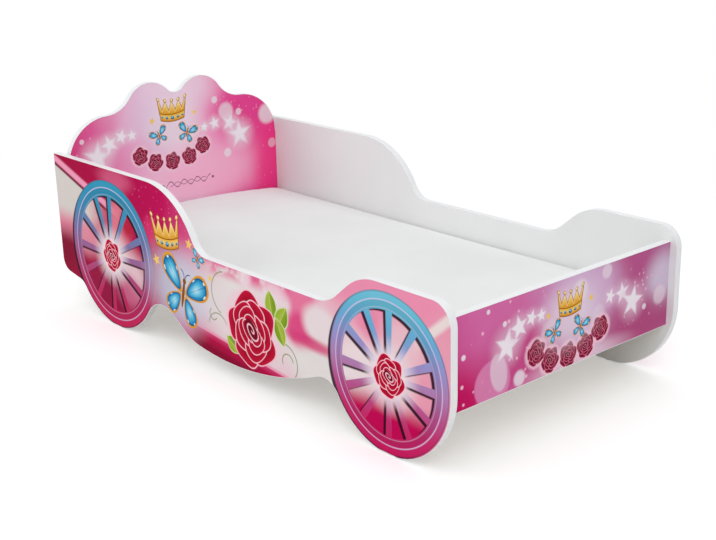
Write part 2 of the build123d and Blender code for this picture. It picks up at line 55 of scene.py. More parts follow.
def tint(red, green, blue):
    # a colour as a printer names it, 0 to 255, turned to the linear values a shader takes
    linear = [((c / 255 + 0.055) / 1.055) ** 2.4 for c in (red, green, blue)]
    return (*linear, 1.0)


def plug(tree, value, socket):
    if isinstance(value, Field):
        tree.links.new(value.socket, socket)
    elif isinstance(value, bpy.types.NodeSocket):
        tree.links.new(value, socket)
    else:
        socket.default_value = value


def node(tree, kind, inputs=None, **settings):
    made = tree.nodes.new(kind)
    for name, value in settings.items():
        setattr(made, name, value)
    for name, value in (inputs or {}).items():
        plug(tree, value, made.inputs[name])
    return made


class Field:
    # a number that changes over a surface, with the sums that make the next one
    def __init__(self, tree, socket):
        self.tree = tree
        self.socket = socket

    def calc(self, operation, *others):
        made = self.tree.nodes.new("ShaderNodeMath")
        made.operation = operation
        for value, socket in zip((self, *others), made.inputs):
            plug(self.tree, value, socket)
        return Field(self.tree, made.outputs[0])

    def __add__(self, other):
        return self.calc("ADD", other)

    def __sub__(self, other):
        return self.calc("SUBTRACT", other)

    def __mul__(self, other):
        return self.calc("MULTIPLY", other)

    def __abs__(self):
        return self.calc("ABSOLUTE")

    def below(self, edge, blur=1.0):
        # 1 where the number is under the edge, 0 over it
        made = node(
            self.tree,
            "ShaderNodeMapRange",
            {
                "Value": self, "From Min": edge - blur / 2, "From Max": edge + blur / 2,
                "To Min": 1.0, "To Max": 0.0,
            },
            interpolation_type="SMOOTHSTEP",
            clamp=False,
        )
        return Field(self.tree, made.outputs[0])

    def above(self, edge, blur=1.0):
        made = node(
            self.tree,
            "ShaderNodeMapRange",
            {"Value": self, "From Min": edge - blur / 2, "From Max": edge + blur / 2},
            interpolation_type="SMOOTHSTEP",
            clamp=False,
        )
        return Field(self.tree, made.outputs[0])

    def within(self, low, high, blur=1.0):
        return self.above(low, blur) * self.below(high, blur)


def ramp(tree, value, stops):
    # a row of (place, colour) stops over any range of numbers
    low, high = stops[0][0], stops[-1][0]
    share = node(tree, "ShaderNodeMapRange", {"Value": value, "From Min": low, "From Max": high}, clamp=False)
    made = node(tree, "ShaderNodeValToRGB", {"Fac": share.outputs[0]})
    for number, (place, shade) in enumerate(stops):
        stop = made.color_ramp.elements[number] if number < 2 else made.color_ramp.elements.new(1.0)
        stop.position = (place - low) / (high - low)
        stop.color = shade
    return made.outputs["Color"]


class Canvas:
    # one printed face: flat places (across, up, 1) in millimetres and the colour laid so far
    def __init__(self, tree, flat, shade, axes):
        self.tree = tree
        self.flat = flat
        self.x, self.z = self.split(flat)
        self.shade = shade
        self.axes = axes
        self.cover = None

    def stage(self, name, draw):
        # each part of a print is a node group of its own, laid over the part before it
        group = bpy.data.node_groups.new(name, "ShaderNodeTree")
        group.interface.new_socket("Flat", in_out="INPUT", socket_type="NodeSocketVector")
        group.interface.new_socket("Under", in_out="INPUT", socket_type="NodeSocketColor")
        group.interface.new_socket("Painted", in_out="OUTPUT", socket_type="NodeSocketColor")
        entry = node(group, "NodeGroupInput")
        inside = Canvas(group, entry.outputs["Flat"], entry.outputs["Under"], self.axes)
        draw(inside)
        node(group, "NodeGroupOutput", {"Painted": inside.shade})
        made = node(self.tree, "ShaderNodeGroup", {"Flat": self.flat, "Under": self.shade}, node_tree=group)
        self.shade = made.outputs["Painted"]

    def motif(self, name, spot, draw, ground=(1, 1, 1, 1)):
        # a motif is drawn once, in a square from -1 to 1, and set down wherever it is wanted
        group = bpy.data.node_groups.get(name)
        if group is None:
            group = bpy.data.node_groups.new(name, "ShaderNodeTree")
            group.interface.new_socket("Spot", in_out="INPUT", socket_type="NodeSocketVector")
            group.interface.new_socket("Cover", in_out="OUTPUT", socket_type="NodeSocketFloat")
            group.interface.new_socket("Painted", in_out="OUTPUT", socket_type="NodeSocketColor")
            entry = node(group, "NodeGroupInput")
            inside = Canvas(group, entry.outputs["Spot"], ground, self.axes)
            inside.cover = 0.0
            draw(inside)
            node(group, "NodeGroupOutput", {"Cover": inside.cover, "Painted": inside.shade})
        made = node(self.tree, "ShaderNodeGroup", {"Spot": spot}, node_tree=group)
        return Field(self.tree, made.outputs["Cover"]), made.outputs["Painted"]

    def along(self, vector, x, z, shift=0.0):
        made = node(self.tree, "ShaderNodeVectorMath", {0: vector, 1: (x, z, shift)}, operation="DOT_PRODUCT")
        return Field(self.tree, made.outputs["Value"])

    def split(self, vector):
        return self.along(vector, 1, 0), self.along(vector, 0, 1)

    def join(self, x, z):
        return node(self.tree, "ShaderNodeCombineXYZ", {"X": x, "Y": z, "Z": 1.0}).outputs[0]

    def local(self, x, z, turn=0.0, width=1.0, height=1.0, source=None):
        # the same flat place, seen from a spot of its own, turned and shrunk
        cos, sin = math.cos(math.radians(turn)), math.sin(math.radians(turn))
        source = source or self.flat
        return self.join(
            self.along(source, cos / width, sin / width, -(x * cos + z * sin) / width),
            self.along(source, -sin / height, cos / height, (x * sin - z * cos) / height),
        )

    def away(self, vector):
        made = node(self.tree, "ShaderNodeVectorMath", {0: vector, 1: (0, 0, 1)}, operation="DISTANCE")
        return Field(self.tree, made.outputs["Value"])

    def oval(self, x, z, width, height, turn=0.0, blur=0.1, source=None):
        return self.away(self.local(x, z, turn, width, height, source)).below(1.0, blur)

    def noise(self, scale, detail=2.0):
        place = node(self.tree, "ShaderNodeTexCoord").outputs["Object"]
        settings = {"Vector": place, "Scale": scale * 1000, "Detail": detail}
        made = node(self.tree, "ShaderNodeTexNoise", settings)
        return Field(self.tree, made.outputs[0])

    def lay(self, mask, shade):
        made = node(self.tree, "ShaderNodeMix", data_type="RGBA")
        plug(self.tree, mask, made.inputs[0])
        plug(self.tree, self.shade, made.inputs[6])
        plug(self.tree, shade, made.inputs[7])
        self.shade = made.outputs[2]
        if self.cover is not None:
            self.cover = mask.calc("MAXIMUM", self.cover)


def newMaterial(name, roughness, **constants):
    made = bpy.data.materials.new(name)
    made.use_nodes = True
    shader = made.node_tree.nodes["Principled BSDF"]
    shader.inputs["Roughness"].default_value = roughness
    for socket, value in constants.items():
        shader.inputs[socket.replace("_", " ")].default_value = value
    return made, made.node_tree, shader


def objectPlace(tree, scale=(1, 1, 1)):
    place = node(tree, "ShaderNodeTexCoord").outputs["Object"]
    made = node(tree, "ShaderNodeMapping", {"Vector": place})
    made.inputs["Scale"].default_value = scale
    return made.outputs[0]


def grain(tree, vector, scale, detail=3.0, roughness=0.5):
    settings = {"Vector": vector, "Scale": scale, "Detail": detail, "Roughness": roughness}
    made = node(tree, "ShaderNodeTexNoise", settings)
    return Field(tree, made.outputs[0])


def bump(tree, shader, height, strength, distance):
    made = node(tree, "ShaderNodeBump", {"Height": height, "Strength": strength, "Distance": distance})
    tree.links.new(made.outputs[0], shader.inputs["Normal"])


def weave(tree, vector, warp, weft, distortion):
    # two sets of threads crossing at right angles
    threads = [
        node(
            tree, "ShaderNodeTexWave", {"Vector": vector, "Scale": scale, "Distortion": distortion},
            bands_direction=way,
        )
        for scale, way in ((warp, "X"), (weft, "Y"))
    ]
    return Field(tree, threads[0].outputs["Fac"]) * Field(tree, threads[1].outputs["Fac"])


def spreadRoughness(tree, shader, value, low, high):
    made = node(tree, "ShaderNodeMapRange", {"Value": value, "To Min": low, "To Max": high})
    tree.links.new(made.outputs[0], shader.inputs["Roughness"])


def dress(material, *names):
    for name in names:
        slots = nodes[name].data.materials
        slots.clear()
        slots.append(material)


# Camera, matched to the photograph

cameraFit = {
    "place": (2.2292, -1.9051, 1.1341),
    "yaw": 48.72,
    "down": 17.32,
    "roll": -1.293,
    "lens": 61.93,
    "shift": (0.0037, -0.0220),
}


def makeCamera():
    yaw, down, roll = (math.radians(cameraFit[key]) for key in ("yaw", "down", "roll"))
    ahead = Vector((-math.sin(yaw) * math.cos(down), math.cos(yaw) * math.cos(down), -math.sin(down)))
    level = Vector((math.cos(yaw), math.sin(yaw), 0))
    upright = level.cross(ahead)
    right = level * math.cos(roll) + upright * math.sin(roll)
    up = -level * math.sin(roll) + upright * math.cos(roll)
    data = bpy.data.cameras.new("photoCamera")
    data.lens = cameraFit["lens"]
    data.shift_x, data.shift_y = cameraFit["shift"]
    camera = bpy.data.objects.new("photoCamera", data)
    bpy.context.scene.collection.objects.link(camera)
    turned = Matrix((right, up, -ahead)).transposed().to_4x4()
    camera.matrix_world = Matrix.Translation(cameraFit["place"]) @ turned
    bpy.context.scene.camera = camera


# Floor, backdrop and lamps

studio = {
    "floorHalf": 30.0,
    "floorColour": (0.86, 0.86, 0.86, 1.0),
    "floorLift": 0.34,
    "fadeFrom": 1.0,
    "fadeTo": 1.9,
    "fadeStretch": (0.72, 1.0, 1.0),
    "worldStrength": 0.55,
    "lamps": {
        "keyLamp": {"place": (3.2, -2.6, 3.4), "aim": (0.1, 0.0, 0.25), "size": 2.6, "power": 68},
        "sideLamp": {"place": (-2.6, -3.2, 2.4), "aim": (-0.1, 0.0, 0.25), "size": 2.6, "power": 40},
        "topLamp": {"place": (0.2, 0.8, 3.6), "aim": (0.0, 0.0, 0.2), "size": 3.0, "power": 27},
    },
}


def straightRays(tree):
    # rays that see the backdrop itself, and not by the light it throws
    rays = node(tree, "ShaderNodeLightPath")
    seen = Field(tree, rays.outputs["Is Camera Ray"])
    for kind in ("Is Glossy Ray", "Is Transmission Ray"):
        seen = seen.calc("MAXIMUM", rays.outputs[kind])
    return seen


def makeStudio():
    scene = bpy.context.scene
    scene.view_settings.view_transform = "Standard"
    world = bpy.data.worlds.new("studioWorld")
    scene.world = world
    world.use_nodes = True
    tree = world.node_tree
    seen = straightRays(tree)
    strength = node(
        tree, "ShaderNodeMapRange", {"Value": seen, "To Min": studio["worldStrength"], "To Max": 1.0}
    )
    back = tree.nodes["Background"]
    back.inputs["Color"].default_value = (1, 1, 1, 1)
    tree.links.new(strength.outputs[0], back.inputs["Strength"])

    floorMesh = bpy.data.meshes.new("floor")
    shape = bmesh.new()
    bmesh.ops.create_grid(shape, x_segments=1, y_segments=1, size=studio["floorHalf"])
    shape.to_mesh(floorMesh)
    shape.free()
    floor = bpy.data.objects.new("floor", floorMesh)
    scene.collection.objects.link(floor)
    material = bpy.data.materials.new("floorPaint")
    material.use_nodes = True
    tree = material.node_tree
    tree.nodes.remove(tree.nodes["Principled BSDF"])
    diffuse = node(tree, "ShaderNodeBsdfDiffuse", {"Color": studio["floorColour"]})
    seen = straightRays(tree)
    glow = node(tree, "ShaderNodeEmission", {"Strength": seen * studio["floorLift"]})
    near = node(tree, "ShaderNodeAddShader", {0: diffuse.outputs[0], 1: glow.outputs[0]})
    white = node(tree, "ShaderNodeEmission", {"Strength": 1.0})
    place = node(tree, "ShaderNodeTexCoord").outputs["Object"]
    reach = node(tree, "ShaderNodeVectorMath", {0: place, 1: studio["fadeStretch"]}, operation="MULTIPLY")
    reach = node(tree, "ShaderNodeVectorMath", {0: reach.outputs[0]}, operation="LENGTH").outputs["Value"]
    middle, blur = (studio["fadeFrom"] + studio["fadeTo"]) / 2, studio["fadeTo"] - studio["fadeFrom"]
    far = Field(tree, reach).above(middle, blur) * seen
    both = node(tree, "ShaderNodeMixShader", {0: far, 1: near.outputs[0], 2: white.outputs[0]})
    tree.links.new(both.outputs[0], tree.nodes["Material Output"].inputs["Surface"])
    floorMesh.materials.append(material)

    for name, lamp in studio["lamps"].items():
        data = bpy.data.lights.new(name, "AREA")
        data.size = lamp["size"]
        data.energy = lamp["power"]
        light = bpy.data.objects.new(name, data)
        scene.collection.objects.link(light)
        light.location = lamp["place"]
        aim = Vector(lamp["aim"]) - Vector(lamp["place"])
        light.rotation_euler = aim.to_track_quat("-Z", "Y").to_euler()


makeCamera()
makeStudio()
print("camera and studio ready")


# Motifs of the prints. Places are millimetres on the printed face.

flower = {
    "rings": [
        # petals, distance, width across, height out, first angle
        (5, 0.54, 0.49, 0.43, 98),
        (5, 0.40, 0.42, 0.36, 62),
        (4, 0.27, 0.34, 0.29, 18),
        (3, 0.15, 0.26, 0.21, 75),
    ],
    "budSize": 0.22,
    "budTurns": 1.4,
    "ripple": 0.05,
    "red": {
        "deep": tint(118, 0, 34),
        "petal": tint(180, 6, 46),
        "lip": tint(196, 16, 58),
        "line": tint(252, 196, 208),
    },
    "wine": {
        "deep": tint(70, 4, 32),
        "petal": tint(122, 14, 54),
        "lip": tint(150, 34, 72),
        "line": tint(222, 120, 142),
    },
}


def paintRose(canvas, shades, line):
    tree = canvas.tree
    shift = flower["ripple"]
    bent = canvas.join(
        canvas.x + (canvas.z * 6.1 + canvas.x * 1.7).calc("SINE") * shift + shift,
        canvas.z + (canvas.x * 5.3 - canvas.z * 2.2).calc("SINE") * shift + shift,
    )
    for petals, reach, across, out, first in flower["rings"]:
        for number in range(petals):
            angle = first + number * 360 / petals
            way = math.radians(angle)
            petal = canvas.local(
                shift + reach * math.cos(way), shift + reach * math.sin(way), angle - 90, across, out, bent
            )
            away = canvas.away(petal)
            edge = 1 - line / across
            colours = ramp(
                tree, away,
                [(0, shades["deep"]), (edge * 0.62, shades["petal"]), (edge - 0.02, shades["lip"]),
                 (edge, shades["line"]), (1.0, shades["line"])],
            )
            canvas.lay(away.below(1.0, 0.04), colours)
    # the bud's rolled petal is a line that winds out from its middle
    heart = canvas.local(shift, shift, 0, flower["budSize"], flower["budSize"], bent)
    u, v = canvas.split(heart)
    away = canvas.away(heart)
    canvas.lay(away.below(1.1, 0.1), shades["deep"])
    winding = v.calc("ARCTAN2", u) * (1 / math.tau)
    roll = (away * flower["budTurns"] - winding).calc("FRACT")
    thread = abs(roll - 0.5).below(line / flower["budSize"] * flower["budTurns"] * 0.7, 0.12)
    canvas.lay(thread * away.below(1.1, 0.1), shades["line"])


def drawRose(canvas, x, z, size, palette, lineWidth, turn=0.0):
    line = round(lineWidth / size, 2)
    shades = flower[palette]
    spot = canvas.local(x, z, turn, size, size)
    name = f"{palette}Rose{round(line * 100)}"
    rose = canvas.motif(name, spot, lambda inside: paintRose(inside, shades, line), shades["line"])
    canvas.lay(*rose)


def paintStar(canvas, blur, waist=0.45):
    fifth = math.pi / 5
    fold = canvas.z.calc("ARCTAN2", canvas.x).calc("PINGPONG", fifth)
    away = canvas.away(canvas.flat)
    # the edge runs from a point of the star at 1 to its waist
    across, out = waist * math.sin(fifth), 1 - waist * math.cos(fifth)
    long = math.hypot(across, out)
    past = away * fold.calc("COSINE") * (across / long) + away * fold.calc("SINE") * (out / long)
    canvas.lay(past.below(across / long, blur), (1, 1, 1, 1))


def drawStar(canvas, x, z, size, turn, shade, blur=0.12, strength=1.0):
    spot = canvas.local(x, z, turn, size, size)
    cover, _ = canvas.motif(f"star{round(blur * 100)}", spot, lambda inside: paintStar(inside, blur))
    canvas.lay(cover * strength, shade)


def drawGlow(canvas, x, z, width, height, shade, strength=1.0, turn=0.0, blur=1.2):
    canvas.lay(canvas.oval(x, z, width, height, turn, blur) * strength, shade)


def drawArc(canvas, x, z, radius, start, end, width, shade, strength=1.0):
    middle, half = (start + end) / 2, math.radians(end - start) / 2
    spot = canvas.local(x, z, middle)
    u, v = canvas.split(spot)
    ring = abs(canvas.away(spot) - radius).below(width / 2, width * 0.8)
    swept = abs(v.calc("ARCTAN2", u)).below(half, 8 / radius)
    canvas.lay(ring * swept * strength, shade)


leafPaint = {
    "rim": tint(214, 226, 168),
    # over the leaf's width, with the vein at 0
    "tones": [
        (-1, tint(112, 146, 26)), (-0.06, tint(144, 172, 44)), (0, tint(206, 220, 140)),
        (0.06, tint(168, 192, 66)), (1, tint(152, 178, 54)),
    ],
}


def paintLeaf(canvas):
    inside = abs(canvas.z) + canvas.x.calc("POWER", 2.0)
    tones = ramp(canvas.tree, canvas.z, leafPaint["tones"])
    canvas.lay(inside.below(1.12, 0.1), leafPaint["rim"])
    canvas.lay(inside.below(0.96, 0.08), tones)


def drawLeaf(canvas, x, z, length, width, turn):
    spot = canvas.local(x, z, turn, length / 2, width / 2)
    canvas.lay(*canvas.motif("leaf", spot, paintLeaf, leafPaint["rim"]))


butterflyPaint = {
    # middle across and up, half length, half width, lean
    "wings": [(0.33, -0.4, 0.4, 0.27, -54), (0.5, 0.3, 0.54, 0.34, 38)],
    "tones": [
        (0, tint(198, 236, 248)), (0.4, tint(98, 196, 230)), (0.74, tint(14, 132, 190)),
        (0.83, tint(8, 70, 132)), (0.88, tint(224, 160, 50)), (1.0, tint(224, 160, 50)),
    ],
    "vein": tint(10, 96, 156),
    "dot": tint(250, 250, 245),
    "feeler": tint(8, 70, 132),
    "body": tint(140, 84, 24),
    "ground": tint(226, 166, 58),
}


def paintButterfly(canvas):
    # both wings are one, folded over at the body
    half = canvas.join(abs(canvas.x), canvas.z)
    for spotX, spotZ, length, width, lean in butterflyPaint["wings"]:
        wing = canvas.local(spotX, spotZ, lean, length, width, half)
        wu, wv = canvas.split(wing)
        # broader at the tip than at the body
        egg = canvas.join(wu, wv.calc("DIVIDE", wu * 0.42 + 0.9))
        away = canvas.away(egg)
        canvas.lay(away.below(1.0, 0.05), ramp(canvas.tree, away, butterflyPaint["tones"]))
        fan = (wv.calc("ARCTAN2", wu + 1.2) * 7.5).calc("SINE")
        canvas.lay(abs(fan).below(0.2, 0.2) * away.below(0.8, 0.06) * 0.45, butterflyPaint["vein"])
        dots = (wv.calc("ARCTAN2", wu) * 5.0).calc("SINE").above(0.75, 0.3) * wu.above(-0.1, 0.2)
        canvas.lay(dots * away.within(0.74, 0.83, 0.05), butterflyPaint["dot"])
    feeler = canvas.local(0.22, 0.36, 0, 1, 1, half)
    fu, fv = canvas.split(feeler)
    line = abs(canvas.away(feeler) - 0.2).below(0.014, 0.014)
    canvas.lay(line * fu.below(-0.02, 0.05) * fv.above(0, 0.05), butterflyPaint["feeler"])
    canvas.lay(canvas.oval(0, -0.04, 0.055, 0.4, 0, 0.25, half), butterflyPaint["body"])
    canvas.lay(canvas.oval(0, 0.3, 0.07, 0.08, 0, 0.25, half), butterflyPaint["body"])


def drawButterfly(canvas, x, z, size, turn):
    spot = canvas.local(x, z, turn, size / 2, size / 2)
    canvas.lay(*canvas.motif("butterfly", spot, paintButterfly, butterflyPaint["ground"]))


crownPaint = {
    "outline": tint(160, 92, 20),
    "gold": [
        (-0.6, tint(206, 134, 34)), (-0.36, tint(252, 210, 106)), (-0.14, tint(228, 162, 50)),
        (0.2, tint(246, 200, 98)), (0.6, tint(255, 234, 168)),
    ],
    "shine": tint(255, 240, 190),
    "ball": tint(255, 226, 150),
    "gem": tint(0, 92, 156),
    "gemShine": tint(120, 208, 236),
    "ground": tint(176, 104, 24),
    "pointWidth": 0.23,
    "balls": [(0, 0.62), (0.46, 0.61), (0.94, 0.6)],
    # place across and size
    "gems": [(0, 0.12), (0.38, 0.09), (0.7, 0.07)],
}


def paintCrown(canvas):
    side = abs(canvas.x)
    bowed = canvas.z + canvas.x * canvas.x * -0.2
    half = canvas.join(side, bowed)
    outline = crownPaint["outline"]
    # points and hollows come from a zigzag over the width
    zigzag = side.calc("PINGPONG", crownPaint["pointWidth"])
    top = bowed + zigzag * 2.3 - 0.56
    flare = side - bowed * 0.16
    gold = ramp(canvas.tree, bowed, crownPaint["gold"])
    canvas.lay(top.below(0.07, 0.03) * flare.below(0.93, 0.02) * bowed.above(-0.64, 0.03), outline)
    canvas.lay(top.below(0, 0.03) * flare.below(0.88, 0.02) * bowed.above(-0.6, 0.03), gold)
    canvas.lay(bowed.within(-0.22, -0.17, 0.02) * flare.below(0.88, 0.02), outline)
    shine = top.within(-0.16, -0.1, 0.04) * bowed.above(-0.1, 0.05) * flare.below(0.8, 0.04)
    canvas.lay(shine * 0.6, crownPaint["shine"])
    for spotX, spotZ in crownPaint["balls"]:
        canvas.lay(canvas.oval(spotX, spotZ, 0.11, 0.11, 0, 0.25, half), outline)
        canvas.lay(canvas.oval(spotX - 0.01, spotZ + 0.01, 0.08, 0.08, 0, 0.3, half), crownPaint["ball"])
    for spotX, gem in crownPaint["gems"]:
        canvas.lay(canvas.oval(spotX, -0.4, gem, gem * 0.9, 0, 0.2, half), crownPaint["gem"])
        canvas.lay(canvas.oval(spotX, -0.37, gem * 0.6, gem * 0.45, 0, 0.5, half), crownPaint["gemShine"])


def drawCrown(canvas, x, z, size, turn):
    spot = canvas.local(x, z, turn, size / 2, size / 2)
    canvas.lay(*canvas.motif("crown", spot, paintCrown, crownPaint["ground"]))


def drawPatches(canvas, patches):
    for patch in patches:
        drawGlow(canvas, *patch)


def drawSparkle(canvas, spacing, size, share, region, shade):
    # scattered dots: one for each cell of a loose net, most of them left out
    place = node(canvas.tree, "ShaderNodeTexCoord").outputs["Object"]
    turned = node(canvas.tree, "ShaderNodeMapping", {"Vector": place, "Rotation": canvas.axes})
    made = node(
        canvas.tree,
        "ShaderNodeTexVoronoi",
        {"Vector": turned.outputs[0], "Scale": 1000 / spacing},
        voronoi_dimensions="2D",
    )
    away = Field(canvas.tree, made.outputs["Distance"]) * spacing
    pick = node(canvas.tree, "ShaderNodeSeparateColor", {"Color": made.outputs["Color"]})
    chosen = Field(canvas.tree, pick.outputs["Red"]).above(1 - share, 0.01)
    swell = Field(canvas.tree, pick.outputs["Green"]) * size * 0.6 + size * 0.4
    canvas.lay((away - swell).below(0, size * 0.9) * chosen * region, shade)


# Carriage wheels on the side prints

floorPlaces = {mount["name"]: mount["pos_m"] for mount in frame["record"]["mounts"]}
wheels = {
    "head": {
        "name": "headWheel",
        "x": floorPlaces["floor_rest_head_right"][0] / mm,
        "z": 198.5,
        "hub": (-2, -4),
        "rim": (154, 195),
        "shine": 176,
        "spokes": (3, 26, 58, 87, 112, 146, 178, 206, 236, 268, 294, 332),
        "spokeHalf": (4.6, 0.03),
        "roseSize": 45,
        "shades": [
            (-1.0, tint(204, 40, 92)), (-0.6, tint(196, 44, 96)), (-0.3, tint(180, 72, 122)),
            (0.0, tint(158, 102, 152)), (0.3, tint(112, 126, 174)), (0.55, tint(66, 146, 188)),
            (0.8, tint(48, 150, 186)), (1.0, tint(56, 158, 192)),
        ],
    },
    "foot": {
        "name": "footWheel",
        "x": floorPlaces["floor_rest_foot_right"][0] / mm,
        "z": 176.0,
        "hub": (6, -3),
        "rim": (135, 173),
        "shine": 155,
        "spokes": (1, 25, 57, 89, 117, 149, 181, 204, 234, 269, 296, 331),
        "spokeHalf": (4.8, 0.034),
        "roseSize": 49,
        "shades": [
            (-1.0, tint(206, 24, 96)), (-0.6, tint(200, 46, 108)), (-0.3, tint(188, 86, 144)),
            (0.0, tint(178, 130, 180)), (0.3, tint(152, 150, 206)), (0.55, tint(108, 172, 214)),
            (0.8, tint(104, 190, 216)), (1.0, tint(118, 196, 220)),
        ],
    },
}
wheelPaint = {
    "shadow": {"shift": (-7.5, -5.5), "blur": 4, "fade": 58, "shade": tint(38, 2, 26), "strength": 0.96},
    "spokes": {"blur": 2.0, "fade": 42, "pale": tint(244, 236, 244), "paleTo": 70, "paleBlur": 50},
    # round the hub and under its rose: half width, half height, colour, strength, turn, blur
    "hubGlow": (70, 68, tint(238, 226, 230), 0.8, 0, 0.8),
    "roseGround": (48, 46, tint(244, 226, 232), 0.95, 0, 0.35),
    "roseLine": 1.9,
    "roseTurn": 20,
    "innerShade": tint(40, 20, 70),
    "outerShade": tint(60, 20, 60),
    "innerLine": tint(226, 214, 240),
    "shineLine": tint(222, 204, 240),
}


def paintWheel(canvas, wheel, blur, fade):
    hub = canvas.local(*wheel["hub"])
    inner, outer = wheel["rim"]
    canvas.lay(canvas.away(canvas.flat).within(inner, outer, blur), (1, 1, 1, 1))
    thin, taper = wheel["spokeHalf"]
    # the spokes fade out towards the rose in the middle
    reach = canvas.away(hub).within(fade, (inner + outer) / 2, fade * 0.5)
    for angle in wheel["spokes"]:
        way = math.radians(angle)
        ahead = canvas.along(hub, math.cos(way), math.sin(way))
        across = abs(canvas.along(hub, -math.sin(way), math.cos(way)))
        spoke = (across - ahead * taper).below(thin, blur) * ahead.above(20, 4) * reach
        canvas.cover = spoke.calc("MAXIMUM", canvas.cover)


def wheelShape(canvas, wheel, shift, blur, fade):
    spot = canvas.local(wheel["x"] + shift[0], wheel["z"] + shift[1])
    name = f"{wheel['name']}{round(blur)}"
    return canvas.motif(name, spot, lambda inside: paintWheel(inside, wheel, blur, fade))[0]


def drawWheel(canvas, wheel):
    inner, outer = wheel["rim"]
    shadow, spokes = wheelPaint["shadow"], wheelPaint["spokes"]
    hubX, hubZ = wheel["x"] + wheel["hub"][0], wheel["z"] + wheel["hub"][1]
    drawGlow(canvas, hubX, hubZ, *wheelPaint["hubGlow"])
    dark = wheelShape(canvas, wheel, shadow["shift"], shadow["blur"], shadow["fade"])
    canvas.lay(dark * shadow["strength"], shadow["shade"])
    spot = canvas.local(wheel["x"], wheel["z"])
    away = canvas.away(spot)
    rimPaint = ramp(canvas.tree, canvas.split(spot)[1] * (1 / outer), wheel["shades"])
    hub = canvas.local(hubX, hubZ)
    blanch = canvas.away(hub).below(spokes["paleTo"], spokes["paleBlur"]) * 0.7
    paint = node(canvas.tree, "ShaderNodeMix", {0: blanch, 6: rimPaint, 7: spokes["pale"]}, data_type="RGBA")
    canvas.lay(wheelShape(canvas, wheel, (0, 0), spokes["blur"], spokes["fade"]), paint.outputs[2])
    # fine lines round the rim: a bright one in its middle with shade inside it, and dark edges
    canvas.lay(away.within(inner + 2, wheel["shine"] - 1, 5) * 0.16, wheelPaint["innerShade"])
    canvas.lay(away.within(outer - 2.5, outer + 1, 3) * 0.35, wheelPaint["outerShade"])
    canvas.lay(abs(away - (inner + 4)).below(0.8, 2.4) * 0.4, wheelPaint["innerLine"])
    canvas.lay(abs(away - wheel["shine"]).below(1.3, 2.4) * 0.8, wheelPaint["shineLine"])
    drawGlow(canvas, hubX, hubZ, *wheelPaint["roseGround"])
    drawRose(canvas, hubX, hubZ, wheel["roseSize"], "red", wheelPaint["roseLine"], wheelPaint["roseTurn"])


# Side print

gold = tint(248, 206, 108)


def drawCrest(canvas, row):
    drawPatches(canvas, [row["crestGlow"]])
    drawCrown(canvas, *row["crown"])
    for butterfly in row["butterflies"]:
        drawButterfly(canvas, *butterfly)
    for star in row["goldStars"]:
        drawStar(canvas, *star, gold)


sidePrint = {
    "ground": [
        (-742, tint(160, 0, 56)), (-560, tint(176, 0, 68)), (-330, tint(184, 0, 78)),
        (-215, tint(194, 10, 88)), (-120, tint(214, 66, 126)), (-75, tint(228, 120, 160)),
        (-20, tint(236, 186, 202)), (70, tint(236, 214, 220)), (300, tint(236, 204, 214)),
        (430, tint(238, 180, 196)), (742, tint(238, 152, 176)),
    ],
    "ribbonSlant": 18,
    # soft patches: middle along and up, half length, half height, colour, strength, turn, blur
    "headPatches": [
        (-436, 404, 70, 26, tint(232, 120, 160), 0.5),
        (-430, 300, 50, 70, tint(232, 130, 150), 0.85),
        (-390, 292, 30, 30, tint(186, 0, 50), 0.9),
        (-400, 170, 90, 60, tint(238, 206, 214), 0.9, -20),
        (-600, 210, 60, 40, tint(232, 150, 170), 0.8),
        (-500, 90, 130, 70, tint(150, 18, 66), 0.9),
        (-400, 110, 60, 40, tint(214, 110, 150), 0.7),
        (-284, 300, 26, 34, tint(226, 62, 118), 0.7),
        (-90, 215, 90, 110, tint(224, 98, 146), 0.75),
    ],
    "railPatches": [
        (100, 270, 22, 22, tint(244, 226, 232), 0.8),
        (205, 262, 40, 22, tint(244, 222, 230), 0.75),
    ],
    "swirlPatches": [
        (322, 190, 82, 48, tint(224, 76, 132), 0.95, -6, 0.5),
        (362, 222, 58, 44, tint(236, 222, 224), 1.0, -10, 0.6),
        (372, 120, 120, 52, tint(232, 228, 226), 0.95, 0, 0.7),
        (330, 176, 80, 14, tint(216, 62, 122), 0.8, -4),
    ],
    "footPatches": [
        (520, 262, 50, 40, tint(238, 130, 168), 0.8),
        (612, 250, 60, 50, tint(238, 196, 206), 0.9),
        (470, 176, 60, 60, tint(240, 226, 228), 0.9),
    ],
    "footSlant": 40,
    # the keel's colours from its top down: lower edge, blur, strength, colour
    "keel": [
        (99, 7, 0.8, tint(240, 150, 180)), (92, 5, 1.0, tint(208, 52, 106)),
        (82, 16, 1.0, tint(176, 10, 66)), (62, 20, 1.0, tint(140, 4, 50)),
    ],
    # curls: middle, radius, from and to in degrees
    "curls": [
        (22, 210, 54, 96, 248), (-12, 118, 38, 28, 168), (236, 106, 43, -38, 96), (246, 108, 19, 10, 205),
        (-30, 150, 14, 120, 330),
    ],
    "curlWidth": 3.0,
    "curlColour": tint(140, 152, 96),
    # leaves: middle, length, width, turn
    "leaves": [
        (192, 226, 70, 38, 98), (228, 204, 70, 42, 58), (222, 172, 66, 36, -66), (44, 94, 56, 36, 148),
    ],
    "roseGlow": (118, 156, 104, 88, tint(246, 206, 218), 0.6, 0, 0.25),
    "rose": (118, 148, 96, "red", 2.9, 8),
    "crestGlow": (-176, 178, 112, 96, tint(196, 224, 242), 0.7),
    # crown, butterflies and stars: middle, size, turn
    "crown": (-212, 306, 120, 6),
    "butterflies": [(-152, 174, 198, -14), (-84, 272, 54, -30)],
    "goldStars": [(-116, 302, 15, 10), (-262, 232, 16, 40), (-36, 236, 10, 0)],
}


